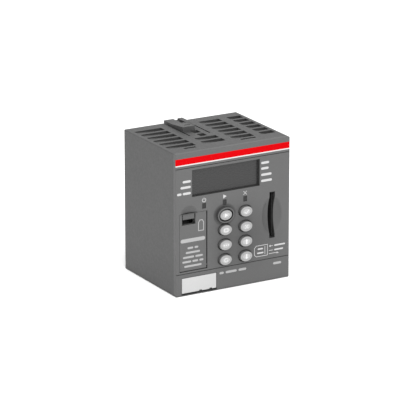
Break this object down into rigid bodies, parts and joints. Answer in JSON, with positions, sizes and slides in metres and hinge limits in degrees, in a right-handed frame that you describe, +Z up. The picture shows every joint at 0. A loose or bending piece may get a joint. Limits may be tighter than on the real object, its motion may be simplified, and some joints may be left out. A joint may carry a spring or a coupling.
{
  "type": "controller module",
  "caption": "Slim upright control module with a display window, oval keys, card slot, hinged battery door, vents and rear plugs.",
  "frame": {"origin": "middle of the bounding box, on the surface the module stands on", "axes": "+X to the right of the front face, +Y from front to rear, +Z up"},
  "size_m": [0.0676, 0.0638, 0.0785],
  "materials": {
    "housing_plastic": "fine matt moulded grain",
    "cover_plastic": "fine matt moulded grain",
    "red_strip": "satin printed film",
    "strip_white": "satin printed film",
    "label_white": "matt marking plate",
    "smoked_window": "smoked acrylic",
    "frame_black": "black moulded",
    "lcd_glass": "display glass",
    "backlight": "milky light guide",
    "silicone": "grey silicone rubber",
    "light_pipe": "smoked clear",
    "led": "lamp package",
    "key_dark": "dark moulded",
    "key_light": "light grey moulded",
    "steel": "bright spring steel",
    "socket_black": "black moulded guide",
    "bay_black": "black moulded",
    "cell_sleeve": "printed sleeve",
    "gold": "gold plated",
    "board_green": "solder mask",
    "chip_black": "moulded chip package",
    "capacitor": "sleeved can",
    "ferrite": "ferrite",
    "winding": "enamelled wire",
    "connector_black": "black connector moulding"
  },
  "bodies": {
    "case": {"backlight_panel": "backlight", "battery_bay": "bay_black", "battery_cell": "cell_sleeve", "battery_contacts": "gold", "board_links": "connector_black", "card_contacts": "gold", "card_eject_spring": "steel", "card_socket": "socket_black", "choke_winding": "winding", "cpu_board": "board_green", "display_window": "smoked_window", "door_hinge_pin": "steel", "front_board": "board_green", "front_board_screws": "steel", "front_cover": "cover_plastic", "interface_chips": "chip_black", "keypad_mat": "silicone", "lcd_connectors": "silicone", "lcd_frame": "frame_black", "lcd_glass": "lcd_glass", "led_light_pipes": "light_pipe", "main_housing": "housing_plastic", "marker_label": "label_white", "memory_chips": "chip_black", "power_board": "board_green", "power_capacitors": "capacitor", "power_inductor": "ferrite", "power_transformer": "ferrite", "processor": "chip_black", "rear_cover": "housing_plastic", "rear_cover_screws": "steel", "rear_pins": "gold", "rear_plug_left": "connector_black", "rear_plug_right": "connector_black", "red_strip": "red_strip", "status_leds": "led", "strip_line": "strip_white", "transformer_winding": "winding"},
    "door": {"battery_door": "cover_plastic", "door_latch_spring": "steel"},
    "door_latch": {"door_latch": "cover_plastic"},
    "top_latch": {"top_release_latch": "housing_plastic"},
    "bottom_latch": {"bottom_release_latch": "housing_plastic"},
    "card_slider": {"card_eject_slider": "connector_black"},
    "key_1": {"key_1_plunger": "key_dark", "key_1_cap": "key_light"},
    "key_2": {"key_2_plunger": "key_dark", "key_2_cap": "key_light"},
    "key_3": {"key_3_plunger": "key_dark", "key_3_cap": "key_light"},
    "key_4": {"key_4_plunger": "key_dark", "key_4_cap": "key_light"},
    "key_5": {"key_5_plunger": "key_dark", "key_5_cap": "key_light"},
    "key_6": {"key_6_plunger": "key_dark", "key_6_cap": "key_light"},
    "key_7": {"key_7_plunger": "key_dark", "key_7_cap": "key_light"},
    "key_8": {"key_8_plunger": "key_dark", "key_8_cap": "key_light"}
  },
  "joints": [
    {"name": "battery_door_hinge", "type": "hinge", "parent": "case", "child": "door", "pos_m": [-0.0236, -0.029, 0.0148], "axis": [1, 0, 0], "range_deg": [0, 90]},
    {"name": "door_latch_slide", "type": "slide", "parent": "door", "child": "door_latch", "axis": [0, 0, -1], "range_m": [0, 0.0015], "stiffness_N_per_m": 400, "springref_m": -0.0005, "deforming": ["door_latch_spring"]},
    {"name": "top_latch_hinge", "type": "hinge", "parent": "case", "child": "top_latch", "pos_m": [-0.00425, -0.0002, 0.0752], "axis": [-1, 0, 0], "range_deg": [0, 4], "stiffness_Nm_per_rad": 1, "springref_deg": -0.57},
    {"name": "bottom_latch_hinge", "type": "hinge", "parent": "case", "child": "bottom_latch", "pos_m": [-0.00425, -0.0002, 0.00095], "axis": [1, 0, 0], "range_deg": [0, 4], "stiffness_Nm_per_rad": 1, "springref_deg": -0.57},
    {"name": "card_slider_travel", "type": "slide", "parent": "case", "child": "card_slider", "axis": [0, 1, 0], "range_m": [0, 0.004], "stiffness_N_per_m": 150, "springref_m": -0.002, "deforming": ["card_eject_spring"]},
    {"name": "key_1_press", "type": "slide", "parent": "case", "child": "key_1", "axis": [0, 1, 0], "range_m": [0, 0.0008], "stiffness_N_per_m": 1500, "springref_m": -0.0002, "deforming": ["keypad_mat"]},
    {"name": "key_2_press", "type": "slide", "parent": "case", "child": "key_2", "axis": [0, 1, 0], "range_m": [0, 0.0008], "stiffness_N_per_m": 1500, "springref_m": -0.0002, "deforming": ["keypad_mat"]},
    {"name": "key_3_press", "type": "slide", "parent": "case", "child": "key_3", "axis": [0, 1, 0], "range_m": [0, 0.0008], "stiffness_N_per_m": 1500, "springref_m": -0.0002, "deforming": ["keypad_mat"]},
    {"name": "key_4_press", "type": "slide", "parent": "case", "child": "key_4", "axis": [0, 1, 0], "range_m": [0, 0.0008], "stiffness_N_per_m": 1500, "springref_m": -0.0002, "deforming": ["keypad_mat"]},
    {"name": "key_5_press", "type": "slide", "parent": "case", "child": "key_5", "axis": [0, 1, 0], "range_m": [0, 0.0008], "stiffness_N_per_m": 1500, "springref_m": -0.0002, "deforming": ["keypad_mat"]},
    {"name": "key_6_press", "type": "slide", "parent": "case", "child": "key_6", "axis": [0, 1, 0], "range_m": [0, 0.0008], "stiffness_N_per_m": 1500, "springref_m": -0.0002, "deforming": ["keypad_mat"]},
    {"name": "key_7_press", "type": "slide", "parent": "case", "child": "key_7", "axis": [0, 1, 0], "range_m": [0, 0.0008], "stiffness_N_per_m": 1500, "springref_m": -0.0002, "deforming": ["keypad_mat"]},
    {"name": "key_8_press", "type": "slide", "parent": "case", "child": "key_8", "axis": [0, 1, 0], "range_m": [0, 0.0008], "stiffness_N_per_m": 1500, "springref_m": -0.0002, "deforming": ["keypad_mat"]}
  ]
}
